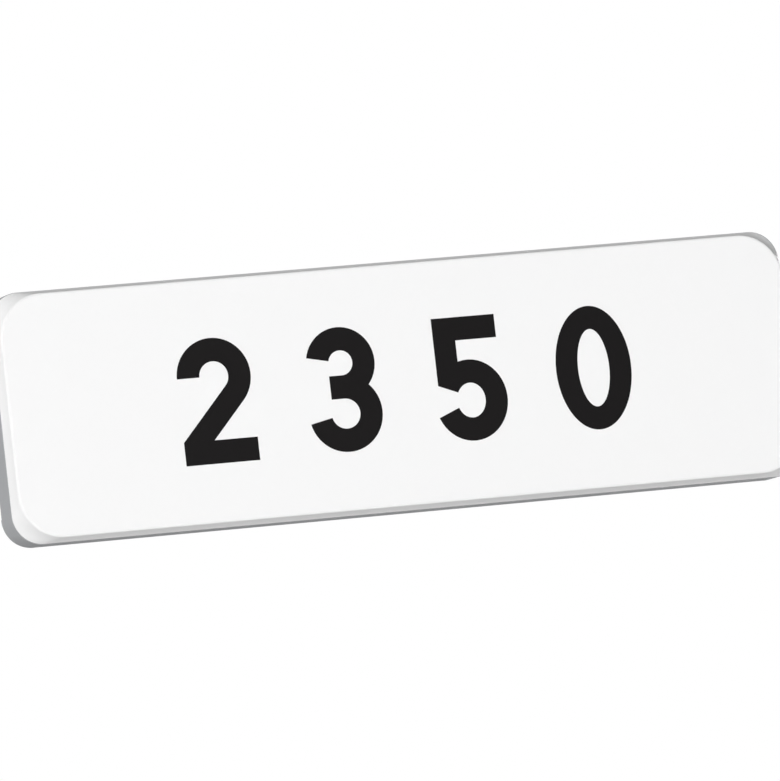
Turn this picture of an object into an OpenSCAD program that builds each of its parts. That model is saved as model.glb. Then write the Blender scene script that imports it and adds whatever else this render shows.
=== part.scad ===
// Rectangular supplementary traffic sign: a pressed face tray with a white film,
// a grey edge frame behind it, and a slotted rail across the open back.
// Each piece is drawn lying on its face: x along the width, y up the sign and
// z back from the front of the film. The module upright() then stands it up.

/* [Sign] */
// Width of the outline
sign_w = 500; // [400:10:900]
// Height of the outline
sign_h = 150; // [110:5:350]
// Corner radius of the outline
outline_r = 18; // [17:0.5:20]

/* [Face tray] */
// Thickness of the tray's sheet
sheet_t = 1; // [0.8:0.1:1.5]
// How far the flat face stops short of the outline
face_inset = 2.5; // [1.5:0.1:5]
// Corner radius of the flat face
face_r = 27; // [20:0.5:35]
// Depth of the sloping shoulder round the face
shoulder_d = 10.5; // [7:0.5:20]
// Outside radius of the fold between the face and the shoulder
face_fold_r = 1.2; // [1.2:0.1:2]
// Outside radius of the shoulder's edge at the seam
seam_fold_r = 0.5; // [0.3:0.1:0.9]
// How far the tray's skirt reaches into the frame
skirt_d = 8; // [5:0.5:10]

/* [Film] */
// Thickness of the reflective film
film_t = 0.4; // [0.2:0.1:0.6]
// Bare margin between the film and the start of the face's fold
film_margin = 0.3; // [0.1:0.1:3]

/* [Edge frame] */
// Thickness of the frame's strip
frame_t = 1.2; // [1:0.1:2]
// Depth of the frame's wall
frame_d = 23; // [22:0.5:50]
// Width of the lip round the back, wall included
lip_w = 15; // [14:0.5:16]
// Gap where the two ends of the strip meet
joint_gap = 0.4; // [0.2:0.1:1]

/* [Splice] */
// Length of the angle behind the frame's joint
splice_l = 76; // [70:1:120]
// Thickness of the angle
splice_t = 1.5; // [1:0.1:2]
// Height of the leg on the frame's wall
splice_leg = 10; // [6:0.5:10]
// How far the leg on the lip stops short of the lip's edge
splice_margin = 0.5; // [0.5:0.1:1]

/* [Mounting rail] */
// How far the rail's ends stop short of the outline
rail_end_in = 6; // [4:0.5:6]
// Width over both feet
rail_w = 60; // [56:1:68]
// Width over the crown
crown_w = 30; // [26:0.5:32]
// Height of the crown above the frame's lip
rail_h = 10; // [10:0.5:16]
// Thickness of the rail
rail_t = 2; // [1.5:0.1:3]
// Number of slots along the crown
slot_n = 4; // [2:2:4]
// Distance between neighbouring slots, centre to centre
slot_pitch = 100; // [70:1:105]
// Length of a slot, end to end
slot_l = 60; // [20:1:60]
// Width of a slot, for an M8 bolt
slot_w = 9; // [8.5:0.1:11]

/* [Rivets] */
// Diameter of a rivet's shank
rivet_d = 4; // [3.2:0.1:4.2]
// Diameter of a rivet's head
rivet_head_d = 8; // [6.5:0.1:8]
// Height of a rivet's head
rivet_head_h = 1.3; // [1:0.1:1.8]
// Distance between neighbouring rivets in the splice
rivet_pitch = 18; // [14:0.5:20]

/* [Fits] */
// Inside radius of the bends in the frame, the splice and the rail
fold_r = 1; // [0.5:0.1:1.5]
// Gap between the tray's skirt and the frame's wall
skirt_gap = 0.1; // [0.05:0.05:0.3]
// Gap round a rivet's shank
rivet_gap = 0.05; // [0.03:0.01:0.15]

/* [Hidden] */
$fn = 64;
// Flat steps round each corner of the tray, and through each of its folds
arc_steps = 16;
fold_steps = 2;
// Every cut runs this far past the faces that it opens
past = 1;

// Depths back from the front of the film
seam_z = film_t + shoulder_d;
back_z = seam_z + frame_d;
lip_z = back_z - frame_t;
total_d = back_z + rail_h;

// Lean of the shoulder, and what its fold takes off the flat of the face
lean = atan(face_inset / shoulder_d);
face_fold_l = face_fold_r * tan((90 - lean) / 2);
// Inset of the skirt's outer side from the outline
skirt_in = frame_t + skirt_gap;
// Half of the height between the lips
clear_y = sign_h / 2 - lip_w;

rail_l = sign_w - 2 * rail_end_in;
// The rail's rivets sit in the middle of what its feet cover of the lip
rail_rivet_x = sign_w / 2 - (lip_w + rail_end_in) / 2;
rail_rivet_y = (rail_w + crown_w) / 4 + fold_r / 2;
// The splice's rivets sit in the middle of the lip's flat, two on each side of the joint
splice_rivet_n = 4;
splice_rivet_y = -sign_h / 2 + (lip_w + frame_t + fold_r) / 2;

// The set end of a blind rivet: its barrel, its nose and the pin's hole
barrel_r = 0.72 * rivet_d;
barrel_l = 0.6 * rivet_d;
nose_l = 0.35 * rivet_d;
pin_hole_r = 0.27 * rivet_d;
pin_hole_d = 0.8 * rivet_head_h;

// The middle of each of n places on a line with an even pitch
function spread(n, pitch) = [for (i = [0 : n - 1]) (i - (n - 1) / 2) * pitch];

slot_x = spread(slot_n, slot_pitch);
splice_rivet_places = [for (x = spread(splice_rivet_n, rivet_pitch)) [x, splice_rivet_y]];
rail_rivet_places = [
    for (side_x = [-1, 1], side_y = [-1, 1]) [side_x * rail_rivet_x, side_y * rail_rivet_y]
];

// The outline, drawn in by a distance, as [width, height, radius]
function outline(inset) = [sign_w - 2 * inset, sign_h - 2 * inset, outline_r - inset];

// The tray's section: each point is [inset from the outline, depth behind the face]
face_edge = [face_inset, 0];
seam_edge = [0, shoulder_d];
// Where the shoulder's slope lies at a depth, drawn in by a distance
function slope(depth, inset) = [face_inset * (1 - depth / shoulder_d) + inset, depth];
// The rounded rectangle that a point of the section follows round the sign. Its corners
// turn from the face's radius to the outline's on the way back.
function tray_outline(point) =
    let (
        share = point.y / shoulder_d,
        radius = face_r + (outline_r - face_r) * share,
        drawn_in = point.x - face_inset * (1 - share)
    )
    [sign_w - 2 * point.x, sign_h - 2 * point.x, radius - drawn_in];

// The points of the arc that rounds the corner b, between a and c, to a radius
function fillet(a, b, c, radius) =
    let (
        to_a = (a - b) / norm(a - b),
        to_c = (c - b) / norm(c - b),
        half = acos(to_a * to_c) / 2,
        middle = b + (to_a + to_c) / norm(to_a + to_c) * radius / sin(half),
        first = b + to_a * radius / tan(half) - middle,
        last = b + to_c * radius / tan(half) - middle,
        turn = 180 - 2 * half
    )
    [
        for (step = [0 : fold_steps])
            let (share = step / fold_steps)
            middle + (first * sin(turn * (1 - share)) + last * sin(turn * share)) / sin(turn)
    ];

// Stands a piece up: the face looks along -Y and the rail's crown lies at y = 0
module upright() {
    rotate([90, 0, 0]) mirror([0, 0, 1]) translate([0, 0, -total_d]) children();
}

// A rounded rectangle: two crossing bars and a disc in each corner
module rounded(size) {
    radius = size[2];
    square([size[0] - 2 * radius, size[1]], center = true);
    square([size[0], size[1] - 2 * radius], center = true);
    for (side_x = [-1, 1], side_y = [-1, 1]) {
        translate([side_x * (size[0] / 2 - radius), side_y * (size[1] / 2 - radius)]) circle(radius);
    }
}

module plate(size, z, t) {
    translate([0, 0, z]) linear_extrude(t) rounded(size);
}

// The corner points of a rounded rectangle, one arc after another
function ring(size, z) = [
    for (quarter = [0 : 3], step = [0 : arc_steps])
        let (
            turn = 90 * (quarter + step / arc_steps),
            side_x = quarter == 0 || quarter == 3 ? 1 : -1,
            side_y = quarter < 2 ? 1 : -1
        )
        [
            side_x * (size[0] / 2 - size[2]) + size[2] * cos(turn),
            side_y * (size[1] / 2 - size[2]) + size[2] * sin(turn),
            z
        ]
];

// A block through one rounded rectangle for each point of a section. All of its rings
// step by the same angles, so every facet between them is flat.
module loft(section) {
    n = 4 * (arc_steps + 1);
    last = len(section) - 1;
    polyhedron(
        points = [for (point = section) each ring(tray_outline(point), point.y)],
        faces = concat(
            [[for (i = [0 : n - 1]) i], [for (i = [n - 1 : -1 : 0]) last * n + i]],
            [
                for (level = [0 : last - 1], i = [0 : n - 1])
                    let (j = (i + 1) % n)
                    [level * n + i, (level + 1) * n + i, (level + 1) * n + j, level * n + j]
            ]
        )
    );
}

// A quarter of a bent strip's section: centre at the origin, in the first quadrant
module bend_section(t) {
    intersection() {
        difference() {
            circle(fold_r + t);
            circle(fold_r);
        }
        square(fold_r + t);
    }
}

// One copy at each of the four sides: child 0 along the width, child 1 along the height
module sides() {
    for (turn = [0, 180]) rotate(turn) translate([0, -sign_h / 2, 0]) children(0);
    for (turn = [90, 270]) rotate(turn) translate([0, -sign_w / 2, 0]) children(1);
}

// Sweeps a section along x: its x becomes y, and its y becomes z
module along_x(length) {
    rotate([90, 0, 90]) linear_extrude(length, center = true) children();
}

// The frame's strip, cut across: a wall at the outline and a lip bent inwards
module frame_section() {
    bend = fold_r + frame_t;
    translate([0, seam_z]) square([frame_t, frame_d - bend]);
    translate([bend, back_z - bend]) mirror([1, 0]) bend_section(frame_t);
    translate([bend, lip_z]) square([lip_w - bend, frame_t]);
}

// Round holes for rivets, drilled at the given places through everything from z to z + t
module rivet_holes(places, z, t) {
    hole_d = rivet_d + 2 * rivet_gap;
    for (place = places) {
        translate([place.x, place.y, z - past]) cylinder(h = t + 2 * past, d = hole_d);
    }
}

module face_film() {
    edge = [face_inset + face_fold_l + film_margin, 0];
    color("whitesmoke") upright() plate(tray_outline(edge), 0, film_t);
}

// One sheet: a flat face, a rounded fold, the shoulder that leans out to the outline,
// a fold at the seam, and a skirt that steps in and stands inside the frame
module face_tray() {
    side_t = sheet_t / cos(lean);
    outside = concat(
        fillet([face_r, 0], face_edge, seam_edge, face_fold_r),
        fillet(face_edge, seam_edge, [skirt_in, shoulder_d], seam_fold_r)
    );
    inner_edge = slope(sheet_t, side_t);
    inner_end = slope(shoulder_d - sheet_t, side_t);
    inside = concat(
        fillet([face_r, sheet_t], inner_edge, inner_end, face_fold_r - sheet_t), [inner_end]
    );
    color("white") upright() difference() {
        union() {
            translate([0, 0, film_t]) loft(outside);
            plate(outline(skirt_in), seam_z - sheet_t, sheet_t + skirt_d);
        }
        translate([0, 0, film_t]) loft(inside);
        plate(outline(skirt_in + sheet_t), seam_z - sheet_t, sheet_t + skirt_d + past);
    }
}

module edge_frame() {
    corner_x = sign_w / 2 - outline_r;
    corner_y = sign_h / 2 - outline_r;
    color([0.66, 0.67, 0.68]) upright() difference() {
        union() {
            sides() {
                along_x(2 * corner_x) frame_section();
                along_x(2 * corner_y) frame_section();
            }
            // The lip is notched out at the corners, so that the strip can be bent there
            for (corner = [[1, 1, 0], [-1, 1, 90], [-1, -1, 180], [1, -1, 270]]) {
                translate([corner.x * corner_x, corner.y * corner_y, seam_z])
                    rotate(corner.z) rotate_extrude(angle = 90)
                        translate([outline_r - frame_t, 0]) square([frame_t, frame_d]);
            }
        }
        translate([-joint_gap / 2, -sign_h / 2 - past, seam_z - past])
            cube([joint_gap, lip_w + 2 * past, frame_d + 2 * past]);
        rivet_holes(splice_rivet_places, lip_z, frame_t);
        rivet_holes(rail_rivet_places, lip_z, frame_t);
    }
}

// An angle that lies in the corner between the frame's wall and its lip
module frame_splice() {
    bend = fold_r + splice_t;
    lip_leg = lip_w - frame_t - splice_margin;
    color("silver") upright() difference() {
        translate([0, frame_t - sign_h / 2, lip_z]) along_x(splice_l) {
            translate([0, -splice_leg]) square([splice_t, splice_leg - bend]);
            translate([bend, -bend]) mirror([1, 0]) bend_section(splice_t);
            translate([bend, -splice_t]) square([lip_leg - bend, splice_t]);
        }
        rivet_holes(splice_rivet_places, lip_z - splice_t, splice_t);
    }
}

// A set blind rivet: the head's underside is at z = 0, and it grips what lies below
module blind_rivet(grip) {
    dome_r = (pow(rivet_head_d / 2, 2) + pow(rivet_head_h, 2)) / (2 * rivet_head_h);
    difference() {
        union() {
            intersection() {
                translate([0, 0, rivet_head_h - dome_r]) sphere(dome_r);
                cylinder(h = rivet_head_h + past, d = rivet_head_d);
            }
            translate([0, 0, -grip]) cylinder(h = grip, d = rivet_d);
            translate([0, 0, -grip - barrel_l]) cylinder(h = barrel_l, r = barrel_r);
            translate([0, 0, -grip - barrel_l - nose_l])
                cylinder(h = nose_l, r1 = rivet_d / 2, r2 = barrel_r);
        }
        translate([0, 0, rivet_head_h - pin_hole_d])
            cylinder(h = pin_hole_d + past, r = pin_hole_r);
    }
}

module splice_rivets() {
    color("gainsboro") upright() for (place = splice_rivet_places) {
        translate([place.x, place.y, back_z]) blind_rivet(frame_t + splice_t);
    }
}

// The rail, cut across: two feet on the frame's lips, two webs and a crown
module rail_section() {
    bend = fold_r + rail_t;
    for (side = [0, 1]) mirror([side, 0]) {
        translate([crown_w / 2 + fold_r, back_z]) square([(rail_w - crown_w) / 2 - fold_r, rail_t]);
        translate([crown_w / 2 + fold_r, back_z + bend]) rotate(180) bend_section(rail_t);
        translate([crown_w / 2 - rail_t, back_z + bend]) square([rail_t, rail_h - 2 * bend]);
        translate([crown_w / 2 - bend, total_d - bend]) bend_section(rail_t);
    }
    translate([-crown_w / 2 + bend, total_d - rail_t]) square([crown_w - 2 * bend, rail_t]);
}

// A long slot with round ends, through the crown
module crown_slot() {
    translate([0, 0, total_d - rail_t - past]) linear_extrude(rail_t + 2 * past) {
        square([slot_l - slot_w, slot_w], center = true);
        for (side = [-1, 1]) translate([side * (slot_l - slot_w) / 2, 0]) circle(d = slot_w);
    }
}

module mounting_rail() {
    color("lightgray") upright() difference() {
        along_x(rail_l) rail_section();
        for (x = slot_x) translate([x, 0, 0]) crown_slot();
        rivet_holes(rail_rivet_places, back_z, rail_t);
    }
}

module rail_rivets() {
    color("gainsboro") upright() for (place = rail_rivet_places) {
        translate([place.x, place.y, back_z + rail_t]) blind_rivet(frame_t + rail_t);
    }
}

face_film();
face_tray();
edge_frame();
frame_splice();
splice_rivets();
mounting_rail();
rail_rivets();
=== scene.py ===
# %% [markdown]
# A supplementary traffic sign, 500 mm wide and 150 mm high: a pressed white tray with a
# sloping shoulder, a grey edge frame behind it, and a slotted rail across the open back.
# Its sizes come packed as a fixed frame, with one plain mesh for each piece. This lesson
# keeps those sizes, rebuilds every piece with the folds and edges of real sheet metal, and
# gives each one its finish.

import math

import bmesh
import bpy
from mathutils import Matrix, Vector, geometry


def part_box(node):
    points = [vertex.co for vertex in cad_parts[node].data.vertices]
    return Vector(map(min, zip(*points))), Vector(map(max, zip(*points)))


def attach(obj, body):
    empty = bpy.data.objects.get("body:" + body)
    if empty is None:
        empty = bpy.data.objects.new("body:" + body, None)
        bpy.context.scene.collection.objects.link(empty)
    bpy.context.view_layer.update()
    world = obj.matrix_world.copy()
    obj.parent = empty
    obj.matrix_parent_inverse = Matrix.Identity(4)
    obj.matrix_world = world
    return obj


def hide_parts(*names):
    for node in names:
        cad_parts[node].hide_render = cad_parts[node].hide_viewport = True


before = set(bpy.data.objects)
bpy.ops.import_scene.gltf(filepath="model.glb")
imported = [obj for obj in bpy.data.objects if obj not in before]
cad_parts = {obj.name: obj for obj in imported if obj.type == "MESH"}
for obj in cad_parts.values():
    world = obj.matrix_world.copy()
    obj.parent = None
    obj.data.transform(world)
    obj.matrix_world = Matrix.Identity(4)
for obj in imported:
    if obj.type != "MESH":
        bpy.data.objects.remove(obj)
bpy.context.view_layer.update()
print("pieces in the frame:", ", ".join(sorted(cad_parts)))

# %% [markdown]
# A metal shop works in millimetres and Blender in metres, so sizes are written in
# millimetres and turned into metres where a mesh is made. Whatever the frame can tell is
# read from it, which keeps each new piece exactly where the old one is. Only what a box
# can't tell, such as a radius or the thickness of a sheet, is written out.

# %% Sizes read from the frame, in millimetres
MM = 0.001


def reach(node):
    """The lowest and the highest corner of a piece of the frame, in millimetres."""
    return [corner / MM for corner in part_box(node)]


film_low, film_high = reach("face_film")
tray_low, tray_high = reach("face_tray")
edge_low, edge_high = reach("edge_frame")
splice_low, splice_high = reach("frame_splice")
rail_low, rail_high = reach("mounting_rail")

sign_w = edge_high.x - edge_low.x
sign_h = edge_high.z - edge_low.z
# Depths are measured back from the front of the film, and insets in from the outline
front = film_low.y
face_d = tray_low.y - front
seam_d = edge_low.y - front
skirt_end_d = tray_high.y - front
back_d = edge_high.y - front
crown_d = rail_high.y - front
film_in = film_low.x - edge_low.x
print(f"sign {sign_w:.1f} x {sign_h:.1f} mm")
print(f"depths: seam {seam_d:.1f}, back {back_d:.1f}, rail {crown_d:.1f} mm")

# %% Sizes that a box can't tell, in millimetres
sheet_t = 1.0
face_inset = 2.5
face_r = 27.0
face_fold_r = 1.2
seam_fold_r = 0.5
outline_r = 18.0
skirt_in = 1.3
figure_t = 0.1
strip_t = 1.2
lip_w = 15.0
notch_w = 0.2
notch_dip = 0.7
joint_gap = 0.4
fold_r = 1.0
splice_t = 1.5
splice_leg = 10.0
rail_t = 2.0
rail_w = 60.0
crown_w = 30.0
slot_pitch = 100.0
slot_l = 60.0
slot_w = 9.0
rivet_r = 2.0
rivet_gap = 0.05
rivet_pitch = 18.0
sheared_edge = 0.15

# %% [markdown]
# Shader maths reads best as a formula. The small class below wraps an output of a node, so
# that adding or multiplying two of them adds the Math node that does it. A second class
# holds the node tree of a material or of the world, and one method adds any node to it:
# first the kind, then its settings, then the values or links of its sockets.

# %% Shader helpers
class Signal:
    """An output of a shader node. Arithmetic on it adds Math nodes."""

    def __init__(self, shader, output):
        self.shader = shader
        self.output = output

    def combine(self, operation, first, second):
        return self.shader.node(
            "ShaderNodeMath", {"operation": operation}, {0: first, 1: second},
        )

    def __add__(self, other):
        return self.combine("ADD", self, other)

    def __rsub__(self, other):
        return self.combine("SUBTRACT", other, self)

    def __mul__(self, other):
        return self.combine("MULTIPLY", self, other)

    __radd__ = __add__
    __rmul__ = __mul__


class Shader:
    """The node tree of a material or of the world."""

    def __init__(self, owner):
        owner.use_nodes = True
        self.tree = owner.node_tree
        self.tree.nodes.clear()

    def node(self, kind, settings=None, sockets=None, output=0):
        made = self.tree.nodes.new(kind)
        for name, value in (settings or {}).items():
            setattr(made, name, value)
        for name, value in (sockets or {}).items():
            if isinstance(value, Signal):
                self.tree.links.new(value.output, made.inputs[name])
            else:
                made.inputs[name].default_value = value
        return Signal(self, made.outputs[output]) if made.outputs else None

    def tint(self, share, first, second):
        """A colour between two others. The numbers are the Mix node's colour sockets."""
        sockets = {0: share, 6: first, 7: second}
        return self.node("ShaderNodeMix", {"data_type": "RGBA"}, sockets, output=2)

    def noise(self, place, size, detail=2.0):
        """Soft noise whose lumps are about as wide as the size, in millimetres."""
        return self.node("ShaderNodeTexNoise", None, {
            "Vector": place, "Scale": 1 / (size * MM), "Detail": detail,
        })


def shade(level, tone=(1.0, 1.0, 1.0)):
    """A grey of that level, as a linear colour, with a slight tone."""
    return (*(level * part for part in tone), 1.0)


def drifted(colour, drift):
    """A colour made a little darker, and a little paler."""
    darker = (*(part * (1 - drift) for part in colour[:3]), 1.0)
    paler = (*(min(1.0, part * (1 + drift)) for part in colour[:3]), 1.0)
    return darker, paler


# %% [markdown]
# Stoved lacquer covers the tray and the edge frame, and the inside of the tray has a thin
# grey back coat. Sprayed paint is never quite flat: it dries to fine orange peel, and its
# colour drifts a little from one spray pass to the next. Both come from noise, one part
# feeding a Bump node and one the colour, at sizes that the eye only finds up close.

# %% Lacquer
def lacquer(name, colour, roughness, specular=0.5, drift=0.03, peel=0.012):
    """Sprayed and stoved paint on sheet steel."""
    material = bpy.data.materials.new(name)
    shader = Shader(material)
    place = shader.node("ShaderNodeTexCoord", output=3)
    passes = shader.noise(place, 45.0)
    grain = shader.noise(place, 0.9, detail=3.0)
    darker, paler = drifted(colour, drift)
    surface = shader.node("ShaderNodeBsdfPrincipled", None, {
        "Base Color": shader.tint(passes * 0.75 + grain * 0.25, darker, paler),
        "Roughness": roughness - 0.04 + 0.08 * passes,
        "Specular IOR Level": specular,
        "Normal": shader.node("ShaderNodeBump", None, {
            "Strength": 0.5, "Distance": peel * MM, "Height": grain,
        }),
    })
    shader.node("ShaderNodeOutputMaterial", None, {"Surface": surface})
    print(f"{name}: roughness about {roughness}")
    return material


white_lacquer = lacquer(
    "white_lacquer", shade(0.87), roughness=0.42, specular=0.25, drift=0.006,
)
grey_lacquer = lacquer(
    "grey_lacquer", shade(0.4, (0.98, 1.0, 1.03)), roughness=0.55, specular=0.25, drift=0.02,
)
back_coat = lacquer(
    "back_coat", shade(0.5, (0.985, 1.0, 1.015)),
    roughness=0.6, specular=0.3, drift=0.05, peel=0.02,
)

# %% [markdown]
# The face carries a white retroreflective film: a clear top layer over tiny glass beads,
# which send a headlamp's light back to the car. By daylight it looks like smooth white
# plastic with a very fine grain. Cells of a Voronoi texture, a quarter of a millimetre wide,
# stand for the beads. The figures are cut from matt black film with the same fine grain.

# %% Films
def film(name, colour, roughness, specular, bead=0.25, relief=0.004, drift=0.004):
    """Thin self-adhesive film with a fine grain."""
    material = bpy.data.materials.new(name)
    shader = Shader(material)
    place = shader.node("ShaderNodeTexCoord", output=3)
    beads = shader.node("ShaderNodeTexVoronoi", None, {
        "Vector": place, "Scale": 1 / (bead * MM),
    })
    rolled = shader.noise(place, 60.0)
    darker, paler = drifted(colour, drift)
    surface = shader.node("ShaderNodeBsdfPrincipled", None, {
        "Base Color": shader.tint(rolled * 0.6 + beads * 0.4, paler, darker),
        "Roughness": roughness + 0.05 * rolled,
        "Specular IOR Level": specular,
        "Normal": shader.node("ShaderNodeBump", None, {
            "Strength": 0.3, "Distance": relief * MM, "Height": beads,
        }),
    })
    shader.node("ShaderNodeOutputMaterial", None, {"Surface": surface})
    print(f"{name}: beads {bead} mm")
    return material


white_film = film("white_film", shade(0.91), roughness=0.34, specular=0.4)
black_film = film(
    "black_film", shade(0.006, (1.1, 0.95, 1.0)), roughness=0.5, specular=0.12, drift=0.2,
)

# %% [markdown]
# The rail and the splice are hot-dip galvanised. Zinc freezes in flat crystals, the spangle,
# and each one reflects a little more or less than the next. A Voronoi texture gives every
# crystal its own shade and roughness, after noise has bent its borders, and a finer noise
# adds the bloom that zinc grows in the open. The rivets are bright zinc plate, far smoother.

# %% Metals
def galvanised(name, crystal=7.0):
    """Zinc with a faint spangle, dulled by the weather."""
    material = bpy.data.materials.new(name)
    shader = Shader(material)
    place = shader.node("ShaderNodeTexCoord", output=3)
    wander = shader.noise(place, 3.0)
    shift = shader.node("ShaderNodeVectorMath", {"operation": "SCALE"}, {
        0: wander, "Scale": 1.4 * MM,
    })
    bent = shader.node("ShaderNodeVectorMath", {"operation": "ADD"}, {0: place, 1: shift})
    cells = shader.node("ShaderNodeTexVoronoi", None, {
        "Vector": bent, "Scale": 1 / (crystal * MM),
    }, output=1)
    crystals = shader.node("ShaderNodeSeparateColor", None, {0: cells})
    bloom = shader.noise(place, 14.0, detail=6.0)
    surface = shader.node("ShaderNodeBsdfPrincipled", None, {
        "Base Color": shader.tint(
            crystals * 0.55 + bloom * 0.45,
            shade(0.56, (0.97, 1.0, 1.03)), shade(0.8, (0.98, 1.0, 1.02)),
        ),
        "Metallic": 0.85,
        "Roughness": 0.36 + 0.14 * crystals + 0.12 * bloom,
        "Normal": shader.node("ShaderNodeBump", None, {
            "Strength": 0.35, "Distance": 0.02 * MM, "Height": crystals + 0.5 * bloom,
        }),
    })
    shader.node("ShaderNodeOutputMaterial", None, {"Surface": surface})
    print(f"{name}: crystals {crystal} mm")
    return material


def bright_zinc(name):
    """Plated steel, smooth, with fine marks from the rivet's die."""
    material = bpy.data.materials.new(name)
    shader = Shader(material)
    place = shader.node("ShaderNodeTexCoord", output=3)
    marks = shader.noise(place, 0.6, detail=4.0)
    surface = shader.node("ShaderNodeBsdfPrincipled", None, {
        "Base Color": shader.tint(
            marks, shade(0.55, (0.98, 1.0, 1.03)), shade(0.78, (0.99, 1.0, 1.01)),
        ),
        "Metallic": 0.95,
        "Roughness": 0.24 + 0.16 * marks,
        "Normal": shader.node("ShaderNodeBump", None, {
            "Strength": 0.3, "Distance": 0.01 * MM, "Height": marks,
        }),
    })
    shader.node("ShaderNodeOutputMaterial", None, {"Surface": surface})
    return material


galvanised_steel = galvanised("galvanised_steel")
rivet_steel = bright_zinc("rivet_steel")

# %% [markdown]
# Every piece of this sign is a line that goes somewhere: a folded sheet is a line with
# rounded corners and a thickness, and the tray and the film are such lines led round a
# rectangle. So a few small functions do most of the work. They round the corners of a
# line, give a line a thickness, lay out the points of a rounded rectangle or a circle at a
# depth, and stretch a closed skin over such rings.

# %% Lines and rings
def rounded(corners, steps=6):
    """The points of a line through corners (x, y, radius), with an arc round each radius."""
    points = []
    for number, (x, y, radius) in enumerate(corners):
        corner = Vector((x, y))
        if not radius:
            points.append(corner)
            continue
        back = (Vector(corners[number - 1][:2]) - corner).normalized()
        ahead = (Vector(corners[(number + 1) % len(corners)][:2]) - corner).normalized()
        half = back.angle(ahead) / 2
        middle = corner + (back + ahead).normalized() * radius / math.sin(half)
        first = corner + back * radius / math.tan(half) - middle
        last = corner + ahead * radius / math.tan(half) - middle
        points += [middle + first.slerp(last, step / steps) * radius for step in range(steps + 1)]
    return points


def strip(line, thickness):
    """The closed outline of a strip whose middle follows a line."""
    steps = [(after - before).normalized() for before, after in zip(line, line[1:])]
    sides = []
    for before, after in zip(steps[:1] + steps, steps + steps[-1:]):
        along = (before + after).normalized()
        sides.append(Vector((-along.y, along.x)) * thickness / 2 / along.dot(after))
    left = [point + side for point, side in zip(line, sides)]
    right = [point - side for point, side in zip(line, sides)]
    return left + right[::-1]


def ring(inset, depth, radius, steps=28):
    """The points of a rounded rectangle, drawn in from the outline, at a depth."""
    points = []
    for quarter, (side_x, side_z) in enumerate(((1, 1), (-1, 1), (-1, -1), (1, -1))):
        for step in range(steps + 1):
            turn = math.radians(90) * (quarter + step / steps)
            points.append(Vector((
                side_x * (sign_w / 2 - inset - radius) + radius * math.cos(turn),
                front + depth,
                side_z * (sign_h / 2 - inset - radius) + radius * math.sin(turn),
            )))
    return points


def circle(x, z, radius, depth, steps):
    """The points of a circle at a depth."""
    turns = [math.radians(360 * step / steps) for step in range(steps)]
    return [
        Vector((x + radius * math.cos(turn), front + depth, z + radius * math.sin(turn)))
        for turn in turns
    ]


def skin(rings, inner_from=None):
    """A closed shape through rings of equally many points.
    Bands from a given one on take the second finish."""
    shape = bmesh.new()
    rows = [[shape.verts.new(point * MM) for point in points] for points in rings]
    for band, (first, second) in enumerate(zip(rows, rows[1:])):
        for number in range(len(first)):
            face = shape.faces.new((
                first[number - 1], first[number], second[number], second[number - 1],
            ))
            face.material_index = int(inner_from is not None and band >= inner_from)
    shape.faces.new(rows[0])
    shape.faces.new(rows[-1]).material_index = int(inner_from is not None)
    bmesh.ops.recalc_face_normals(shape, faces=shape.faces[:])
    return shape


# %% [markdown]
# A shape becomes a piece in four steps, in the order of a workshop: the sheet gets its
# thickness, its holes are punched, its sheared edges lose their burr, and it is mounted. The
# first three are modifiers that are then applied, so that the piece holds one finished
# mesh. A weighted normal keeps the wide flats flat right up to their rounded edges.

# %% From shape to piece
crease = math.radians(40)


def together(shapes):
    """One shape from several."""
    whole = bmesh.new()
    for part in shapes:
        copy = bpy.data.meshes.new("part")
        part.to_mesh(copy)
        part.free()
        whole.from_mesh(copy)
        bpy.data.meshes.remove(copy)
    return whole


def new_object(name, shape):
    mesh = bpy.data.meshes.new(name)
    shape.to_mesh(mesh)
    shape.free()
    made = bpy.data.objects.new(name, mesh)
    bpy.context.scene.collection.objects.link(made)
    return made


def work_sheet(piece, thickness=0.0, punches=(), edge=0.0):
    """Thickens a sheet, punches it and rounds its edges, in millimetres, and applies it all."""
    if thickness:
        sheet = piece.modifiers.new("sheet", "SOLIDIFY")
        sheet.thickness = thickness * MM
        sheet.offset = 0
        sheet.use_even_offset = True
        sheet.use_quality_normals = True
    for punch in punches:
        hole = piece.modifiers.new("hole", "BOOLEAN")
        hole.object = punch
        hole.solver = "EXACT"
    if edge:
        rounding = piece.modifiers.new("edge", "BEVEL")
        rounding.width = edge * MM
        rounding.segments = 2
        rounding.limit_method = "ANGLE"
        rounding.angle_limit = crease
    bpy.context.view_layer.update()
    worked = bpy.data.meshes.new_from_object(
        piece.evaluated_get(bpy.context.evaluated_depsgraph_get())
    )
    piece.modifiers.clear()
    piece.data = worked
    for punch in punches:
        bpy.data.objects.remove(punch)


def mount(piece, finishes, stands_for=()):
    """Gives a piece its shading and finishes, and fixes it to the sign."""
    piece.data.shade_smooth()
    piece.data.set_sharp_from_angle(angle=crease)
    piece.modifiers.new("flats", "WEIGHTED_NORMAL").keep_sharp = True
    piece.data.materials.clear()
    for finish in finishes:
        piece.data.materials.append(finish)
    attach(piece, "root")
    if stands_for:
        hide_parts(*stands_for)
    print(f"{piece.name}: {len(piece.data.vertices)} points, {len(piece.data.polygons)} faces")


# %% [markdown]
# The tray is one pressing of 1 mm steel. Its flat face has wider corners than its outline,
# so the shoulder between them is narrow along the sides and broad round the corners, which
# is what catches the light there. The section runs over the face, round the fold, down the
# shoulder, steps in at the seam to stand inside the frame, and comes back along the inside.

# %% The pressed tray
shoulder_d = seam_d - face_d
flare = 0.45
flat_in = 9.0


def spread(depth):
    """How far the shoulder has spread at a depth, from 0 at the face to 1 at the seam."""
    share = min(max((depth - face_d) / shoulder_d, 0), 1)
    return share * (1 - flare) + share ** 2 * flare


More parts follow.
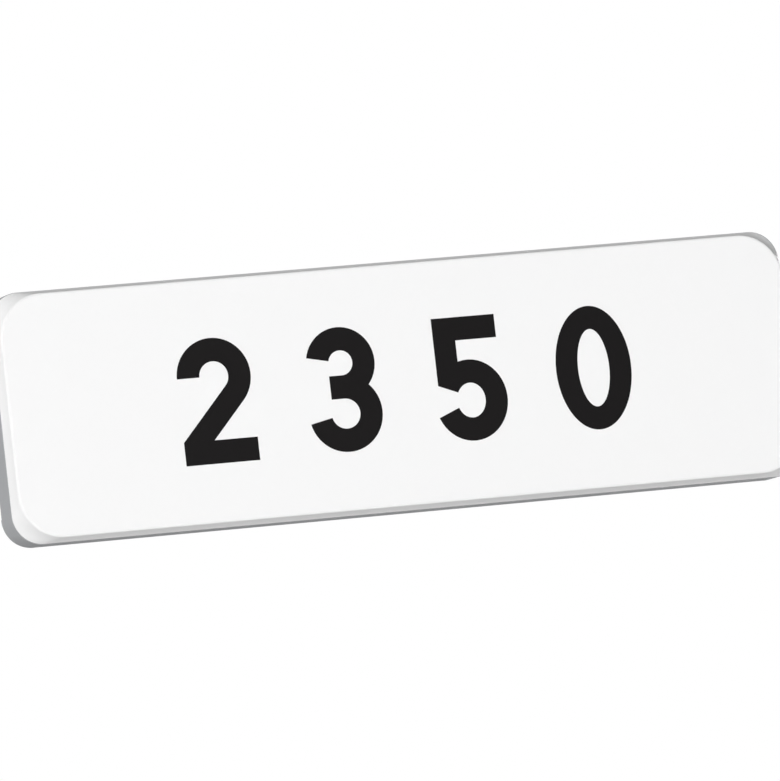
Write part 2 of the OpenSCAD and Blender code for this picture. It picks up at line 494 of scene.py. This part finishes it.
def shoulder(depth, drawn_in=0.0, radius=0.0):
    """A corner of the section that lies a little in from the shoulder's outside."""
    return (face_inset * (1 - spread(depth)) + drawn_in, depth, radius)


def tray_ring(point):
    """Leads a point of the section, (inset, depth), round the sign."""
    radius = face_r + (outline_r - face_r) * spread(point.y)
    return ring(point.x, point.y, radius - (point.x - shoulder(point.y)[0]))


side_t = sheet_t / math.cos(math.atan(face_inset / shoulder_d))
levels = [face_d + shoulder_d * part / 8 for part in range(2, 7)]
outside = rounded([
    (flat_in, face_d, 0),
    shoulder(face_d, radius=face_fold_r),
    *(shoulder(level) for level in levels),
    shoulder(seam_d, radius=seam_fold_r),
    (skirt_in, seam_d, 0.25),
    (skirt_in, skirt_end_d, 0),
])
inside = rounded([
    (skirt_in + sheet_t, skirt_end_d, 0),
    (skirt_in + sheet_t, seam_d - sheet_t, 0.3),
    shoulder(seam_d - sheet_t, side_t, 0.3),
    *(shoulder(level, side_t) for level in reversed(levels)),
    shoulder(face_d + sheet_t, side_t, face_fold_r - sheet_t),
    (flat_in, face_d + sheet_t, 0),
])
tray = new_object("pressed_tray", skin(
    [tray_ring(point) for point in outside + inside], inner_from=len(outside),
))
mount(tray, [white_lacquer, back_coat], ["face_tray"])

# %% [markdown]
# The white film stops just short of the fold, since film that goes over an edge peels. The
# black figures are cut out and laid on it. The frame has both as one layer, so the white
# film gives up the thickness of the figures, and the front of the figures is the front of
# the frame's film.

# %% The white film
white = new_object("white_face_film", skin([tray_ring(point) for point in rounded([
    (flat_in, figure_t, 0),
    (film_in, figure_t, 0.1),
    (film_in, face_d, 0),
])]))
mount(white, [white_film], ["face_film"])

# %% [markdown]
# The face carries one plain number in even strokes, like the lettering of any road sign. A
# figure is put together from bars and bends, all of one stroke width. They overlap, so a
# Delaunay triangulation merges them: it splits every crossing, tells which pieces cover
# each triangle, and the triangles that none covers are the open counters.

# %% The figures' strokes
figure_h = 75.0
stroke = 14.0
figure_pitch = 79.6
weld = 0.02


def bar(left, low, right, high):
    return [(left, low), (right, low), (right, high), (left, high)]


def bend(x, z, across, up, start, end, steps=40):
    """A curved stroke: part of a ring with two outer radii, from one angle to another."""
    turns = [math.radians(start + (end - start) * step / steps) for step in range(steps + 1)]
    outer, inner = (
        [(x + (across - less) * math.cos(turn), z + (up - less) * math.sin(turn)) for turn in turns]
        for less in (0, stroke)
    )
    return outer + inner[::-1]


def two(width=46.0):
    """A round head, a stroke that leaves it along a tangent, and a foot."""
    big = width / 2
    small = big - stroke
    head = Vector((big, figure_h - big))
    reach_down = head - Vector((0, stroke))
    leave = math.asin(small / reach_down.length) + math.atan2(reach_down.x, reach_down.y)
    outward = Vector((math.cos(leave), -math.sin(leave)))
    foot_right = head.x + (big - (head.y - stroke) * math.sin(leave)) / math.cos(leave)
    neck = [
        Vector((0, stroke)), Vector((foot_right, stroke)),
        head + outward * big, head + outward * small,
    ]
    return [
        bend(head.x, head.y, big, big, -math.degrees(leave), 180),
        [tuple(point) for point in neck],
        bar(0, 0, width, stroke),
    ], width


def three(width=46.0):
    """Two bowls that share one stroke in the middle."""
    low = width / 2
    high = (figure_h + stroke) / 2 - low
    waist = 2 * low - stroke
    free_end = 168
    middle_l = 8
    return [
        bend(low, figure_h - high, high, high, -90, free_end),
        bend(low, low, low, low, -free_end, 90),
        bar(low - middle_l, waist, low, waist + stroke),
    ], width


def five(width=46.0):
    """A flag, a stem and a bowl."""
    bowl = width / 2
    up = 24.5
    left = 3.0
    stem_low = up + 10
    free_end = 158
    start = math.acos((left - bowl) / bowl)
    return [
        bend(bowl, up, bowl, up, -free_end, math.degrees(start)),
        bar(left, figure_h - stroke, width - left, figure_h),
        [
            (left, figure_h - stroke / 2),
            (left, stem_low),
            (bowl + (bowl - stroke) * math.cos(start), up + (up - stroke) * math.sin(start)),
            (left + stroke, up + up - stroke),
            (left + stroke, figure_h - stroke / 2),
        ],
    ], width


def nought(width=48.0):
    """A tall oval, as two halves."""
    x = width / 2
    z = figure_h / 2
    return [bend(x, z, x, z, -90, 90), bend(x, z, x, z, 90, 270)], width


# %% Cut the figures out
def cut_figure(strokes, width, middle):
    """One thin solid from overlapping strokes, centred on a place along the face."""
    corners = [
        Vector((x - width / 2 + middle, z - figure_h / 2)) for points in strokes for x, z in points
    ]
    loops = []
    for points in strokes:
        first = sum(len(loop) for loop in loops)
        loops.append(list(range(first, first + len(points))))
    places, _, triangles, _, _, covers = geometry.delaunay_2d_cdt(corners, [], loops, 1, 1e-4)
    shape = bmesh.new()
    points = [
        shape.verts.new(Vector((place.x, front + figure_t, place.y)) * MM) for place in places
    ]
    for triangle, cover in zip(triangles, covers):
        if cover:
            shape.faces.new([points[corner] for corner in triangle])
    spare = [point for point in shape.verts if not point.link_faces]
    bmesh.ops.delete(shape, geom=spare, context="VERTS")
    bmesh.ops.remove_doubles(shape, verts=shape.verts, dist=weld * MM)
    bmesh.ops.dissolve_limit(
        shape, angle_limit=math.radians(0.5), verts=shape.verts, edges=shape.edges,
    )
    lifted = bmesh.ops.extrude_face_region(shape, geom=shape.faces[:])["geom"]
    raised = [part for part in lifted if isinstance(part, bmesh.types.BMVert)]
    bmesh.ops.translate(shape, verts=raised, vec=(0, -figure_t * MM, 0))
    bmesh.ops.recalc_face_normals(shape, faces=shape.faces[:])
    return shape


for number, (name, (strokes, width)) in enumerate({
    "figure_two": two(), "figure_three": three(), "figure_five": five(), "figure_nought": nought(),
}.items()):
    middle = (number - 1.5) * figure_pitch
    figure = new_object(name, cut_figure(strokes, width, middle))
    mount(figure, [black_film])

# %% [markdown]
# The edge frame is one strip of steel, bent round the outline with its lip turned inwards. A
# lip can't follow a tight corner, so it is notched out there. The way to model such a sheet
# is by its middle surface, a grid of faces with no thickness: stations run round the
# outline, each with a column of points from the seam to the lip, and Solidify adds the rest.

# %% The edge frame
def outline_stations(steps=16):
    """Places from the joint round to the joint: place, way inwards, and how far the wall
    of a corner stops short of the back, or None where the strip has its lip."""
    corner = Vector((sign_w / 2 - outline_r, sign_h / 2 - outline_r))
    up = Vector((0, 1))
    stations = [(Vector((joint_gap / 2, -sign_h / 2)), up, None)]
    for quarter, (side_x, side_z) in enumerate(((1, -1), (1, 1), (-1, 1), (-1, -1))):
        centre = Vector((side_x * corner.x, side_z * corner.y))
        arc = []
        for step in range(steps + 1):
            turn = math.radians(270 + 90 * (quarter + step / steps))
            way = Vector((math.cos(turn), math.sin(turn)))
            arc.append((centre + way * outline_r, -way, notch_dip * math.cos(2 * turn) ** 2))
        before, after = (
            Vector((way.y, -way.x)) * notch_w for _, way, _ in (arc[0], arc[-1])
        )
        stations.append((arc[0][0] - before, arc[0][1], None))
        stations += arc
        stations.append((arc[-1][0] + after, arc[-1][1], None))
    stations.append((Vector((-joint_gap / 2, -sign_h / 2)), up, None))
    return stations


def strip_surface():
    """The frame's middle surface, in columns of (inset, depth)."""
    half = strip_t / 2
    folded = rounded([
        (half, seam_d, 0), (half, back_d - half, fold_r + half), (lip_w, back_d - half, 0),
    ], steps=8)
    shape = bmesh.new()
    columns = []
    for place, inwards, dip in outline_stations():
        upright = [folded[0], folded[1], Vector((half, back_d - (dip or 0)))]
        column = []
        for inset, depth in folded if dip is None else upright:
            spot = place + inwards * inset
            column.append(shape.verts.new(Vector((spot.x, front + depth, spot.y)) * MM))
        columns.append(column)
    for first, second in zip(columns, columns[1:]):
        rows = len(first) - 1 if len(first) == len(second) else 1
        for row in range(rows):
            shape.faces.new((first[row], second[row], second[row + 1], first[row + 1]))
    bmesh.ops.recalc_face_normals(shape, faces=shape.faces[:])
    return shape


def round_punch(name, places, radius, past=5.0, steps=48):
    """Round bars that go right through the back of the sign at the given places."""
    return new_object(name, together(skin([
        circle(x, z, radius, depth, steps) for depth in (seam_d, crown_d + past)
    ]) for x, z in places))


rail_rivet_x = sign_w / 2 - (lip_w + rail_low.x - edge_low.x) / 2
rail_rivet_z = (rail_w + crown_w) / 4 + fold_r / 2
rail_rivets = [
    (x, z) for x in (-rail_rivet_x, rail_rivet_x) for z in (-rail_rivet_z, rail_rivet_z)
]
splice_rivet_z = -sign_h / 2 + (lip_w + strip_t + fold_r) / 2
splice_rivets = [((number - 1.5) * rivet_pitch, splice_rivet_z) for number in range(4)]

edge_frame = new_object("edge_strip", strip_surface())
holes = round_punch("frame_holes", rail_rivets + splice_rivets, rivet_r + rivet_gap)
work_sheet(edge_frame, strip_t, [holes], sheared_edge)
mount(edge_frame, [grey_lacquer], ["edge_frame"])

# %% [markdown]
# The splice and the rail are straight: one section drawn out along the width. The splice is
# a small angle behind the joint. The rail is a hat, with two feet, two webs and a crown, and
# long slots let its bolts slide to where the post is. A slot is a straight punch with two
# round ends.

# %% The splice and the rail
def draw_out(section, length):
    """A section of (height, depth) drawn out along the width, centred."""
    return skin([
        [Vector((x, front + depth, height)) for height, depth in section]
        for x in (-length / 2, length / 2)
    ])


def slot_punch(name, places, past=2.0):
    """Slots through the crown, centred at the given places along the rail."""
    end = slot_w / 2
    outline = rounded([
        (-slot_l / 2, -end, end), (slot_l / 2, -end, end),
        (slot_l / 2, end, end), (-slot_l / 2, end, end),
    ], steps=14)
    return new_object(name, together(skin([
        [Vector((place + x, front + depth, z)) for x, z in outline]
        for depth in (crown_d - rail_t - past, crown_d + past)
    ]) for place in places))


wall_z = -sign_h / 2 + strip_t + splice_t / 2
lip_d = back_d - strip_t - splice_t / 2
splice_line = rounded([
    (wall_z, splice_low.y - front, 0),
    (wall_z, lip_d, fold_r + splice_t / 2),
    (splice_high.z, lip_d, 0),
])
splice = new_object(
    "joint_angle", draw_out(strip(splice_line, splice_t), splice_high.x - splice_low.x),
)
holes = round_punch("splice_holes", splice_rivets, rivet_r + rivet_gap)
work_sheet(splice, punches=[holes], edge=sheared_edge)
mount(splice, [galvanised_steel], ["frame_splice"])

foot_d = back_d + rail_t / 2
top_d = crown_d - rail_t / 2
web_z = crown_w / 2 - rail_t / 2
bend_r = fold_r + rail_t / 2
rail_line = rounded([
    (-rail_w / 2, foot_d, 0), (-web_z, foot_d, bend_r), (-web_z, top_d, bend_r),
    (web_z, top_d, bend_r), (web_z, foot_d, bend_r), (rail_w / 2, foot_d, 0),
], steps=8)
rail = new_object(
    "slotted_rail", draw_out(strip(rail_line, rail_t), rail_high.x - rail_low.x),
)
holes = round_punch("rail_holes", rail_rivets, rivet_r + rivet_gap)
slots = slot_punch("rail_slots", [(number - 1.5) * slot_pitch for number in range(4)])
work_sheet(rail, punches=[holes, slots], edge=sheared_edge)
mount(rail, [galvanised_steel], ["mounting_rail"])

# %% [markdown]
# A blind rivet is a lathe shape. Its domed head stays outside, with the stub of the broken pin
# deep in its hole, and its barrel is drawn up into a bulb behind the sheets. The line below
# goes from the middle of the pin's stub over the head, along the shank and round the
# bulb, and is turned about the rivet's axis.

# %% The rivets
head_r = 4.0
head_h = 1.3
head_rim = 0.12
dome_r = (head_r ** 2 + head_h ** 2) / (2 * head_h)
pin_r = 1.08
pin_edge = 0.15
stub_r = 0.35
stub_d = 0.95
bulb_r = 2.88
bulb_l = 3.8


def rivet_line(grip):
    """Points (radius, height above the head's underside) from the pin to the far end."""
    dome = []
    dome_in = pin_r + pin_edge
    dome_out = head_r - head_rim
    for step in range(9):
        radius = dome_in + (dome_out - dome_in) * step / 8
        dome.append((radius, math.sqrt(dome_r ** 2 - radius ** 2) - dome_r + head_h))
    return [
        (stub_r, head_h - stub_d), (pin_r - 0.1, head_h - stub_d + 0.1), (pin_r, head_h - 0.4),
        *dome,
        (head_r, head_rim), (head_r, 0.05), (head_r - 0.08, 0),
        (rivet_r, 0), (rivet_r, -grip),
        *rounded([
            (rivet_r, -grip, 0), (bulb_r, -grip - 0.2, 0.2), (bulb_r, -grip - 2.0, 1.0),
            (2.1, -grip - bulb_l + 0.3, 0.5), (1.2, -grip - bulb_l, 0),
        ], steps=5)[1:],
    ]


def turned(places, head_d, grip, steps=40):
    """Rivets turned from their line, with their heads' underside at a depth."""
    return together(skin([
        circle(x, z, radius, head_d + height, steps) for radius, height in rivet_line(grip)
    ]) for x, z in places)


joint_rivets = new_object("joint_rivets", turned(splice_rivets, back_d, strip_t + splice_t))
mount(joint_rivets, [rivet_steel], ["splice_rivets"])
foot_rivets = new_object("foot_rivets", turned(rail_rivets, back_d + rail_t, strip_t + rail_t))
mount(foot_rivets, [rivet_steel], ["rail_rivets"])

# %% [markdown]
# The photograph looks at the sign from the left and a little from below, with the camera
# rolled. Its place was worked out from the sign's straight edges and corner arcs: the
# vector says where the middle of the face lies from the camera, and three turns say how
# the camera is held. The long lens keeps opposite edges nearly parallel.

# %% Camera
face_from_camera = Vector((9.8, 5465.6, 3.9)) * MM
yaw, pitch, roll = (math.radians(degrees) for degrees in (18.713, -4.486, -6.514))
held = Matrix.Rotation(roll, 3, "Y") @ Matrix.Rotation(pitch, 3, "X") @ Matrix.Rotation(yaw, 3, "Z")
right, ahead, up = held
camera = bpy.data.objects.new("camera", bpy.data.cameras.new("camera"))
bpy.context.scene.collection.objects.link(camera)
camera.matrix_world = Matrix.Translation(
    Vector((0, front * MM, 0)) - held.transposed() @ face_from_camera
) @ Matrix((right, up, -ahead)).transposed().to_4x4()
camera.data.sensor_width = 36.0
camera.data.lens = 421.8
bpy.context.scene.camera = camera
print("camera at", [round(part, 3) for part in camera.matrix_world.translation])

# %% [markdown]
# A white sign on a white page only shows by the shades of its edges, so the light has to
# differ from side to side while the face stays just under white. The world is a soft tent
# that is brighter on the left and above than on the right and below. Only the rays that
# the camera itself sends out find a plain white page in its place. Reflections see the
# tent, because a white one would wash out the grey walls.

# %% World
def seen_rays(shader):
    """1 for the camera's own rays, and 0 for all others."""
    return shader.node("ShaderNodeLightPath")


fill = 0.27
from_left = 0.32
from_above = 0.16

world = bpy.data.worlds.new("studio")
bpy.context.scene.world = world
shader = Shader(world)
direction = shader.node("ShaderNodeTexCoord")
sideways = shader.node("ShaderNodeSeparateXYZ", None, {0: direction})
upwards = shader.node("ShaderNodeSeparateXYZ", None, {0: direction}, output=2)
brightness = shader.node("ShaderNodeClamp", None, {
    "Value": fill - from_left * sideways + from_above * upwards, "Max": 2.0,
})
tent = shader.node("ShaderNodeBackground", None, {"Strength": brightness})
page = shader.node("ShaderNodeBackground", None, {"Color": shade(1.0), "Strength": 1.0})
shader.node("ShaderNodeOutputWorld", None, {
    "Surface": shader.node("ShaderNodeMixShader", None, {0: seen_rays(shader), 1: tent, 2: page}),
})

# %% [markdown]
# Three softboxes stand round the sign. The key lamp at the front left lights the face, and
# is so far off that the face is nearly as bright at one end as at the other. The lamp on
# the left and behind gives the left wall and shoulder their light, and shiny surfaces don't
# mirror it. The third lights the rail from behind, for whoever walks round.

# %% Lamps
def softbox(name, place, size, power):
    """A square lamp that looks at the sign."""
    lamp = bpy.data.lights.new(name, "AREA")
    lamp.size = size
    lamp.energy = power
    made = bpy.data.objects.new(name, lamp)
    made.location = place
    made.rotation_mode = "QUATERNION"
    made.rotation_quaternion = (-Vector(place)).to_track_quat("-Z", "Y")
    bpy.context.scene.collection.objects.link(made)
    return made


softbox("front_left", (-3.6, -13.5, 0.3), size=3.2, power=1362.0)
softbox("left", (-5.5, 3.7, 2.4), size=1.6, power=180.0).visible_glossy = False
softbox("behind", (3.85, 5.8, 0.1), size=2.2, power=110.0)

# %% [markdown]
# The floor is matt and pale, and lies far enough below to send some light up without a hard
# shadow. For the camera it also glows a little, since a matt floor alone would look grey
# beside the page, and it fades into the white page with distance, so no horizon shows.

# %% Floor
floor_z = -1.25
floor_size = 60.0
floor_white = 0.85
floor_glow = 0.62
fade_from = 2.5
fade_to = 6.5

shape = bmesh.new()
bmesh.ops.create_grid(shape, x_segments=1, y_segments=1, size=floor_size / 2)
floor = new_object("floor", shape)
floor.location.z = floor_z
pale = bpy.data.materials.new("pale_floor")
shader = Shader(pale)
matt = shader.node("ShaderNodeBsdfDiffuse", None, {"Color": shade(floor_white)})
lift = shader.node("ShaderNodeEmission", None, {"Color": shade(1.0), "Strength": floor_glow})
lifted = shader.node("ShaderNodeAddShader", None, {0: matt, 1: lift})
page = shader.node("ShaderNodeEmission", None, {"Color": shade(1.0)})
place = shader.node("ShaderNodeNewGeometry")
away = shader.node("ShaderNodeVectorMath", {"operation": "LENGTH"}, {0: place}, output=1)
faded = shader.node("ShaderNodeMapRange", None, {
    "Value": away, "From Min": fade_from, "From Max": fade_to,
})
seen = shader.node("ShaderNodeMixShader", None, {0: faded, 1: lifted, 2: page})
shader.node("ShaderNodeOutputMaterial", None, {
    "Surface": shader.node("ShaderNodeMixShader", None, {0: seen_rays(shader), 1: matt, 2: seen}),
})
floor.data.materials.append(pale)

# %% [markdown]
# The last cell leaves the colours as they are written.

# %% Finish
bpy.context.scene.view_settings.view_transform = "Standard"
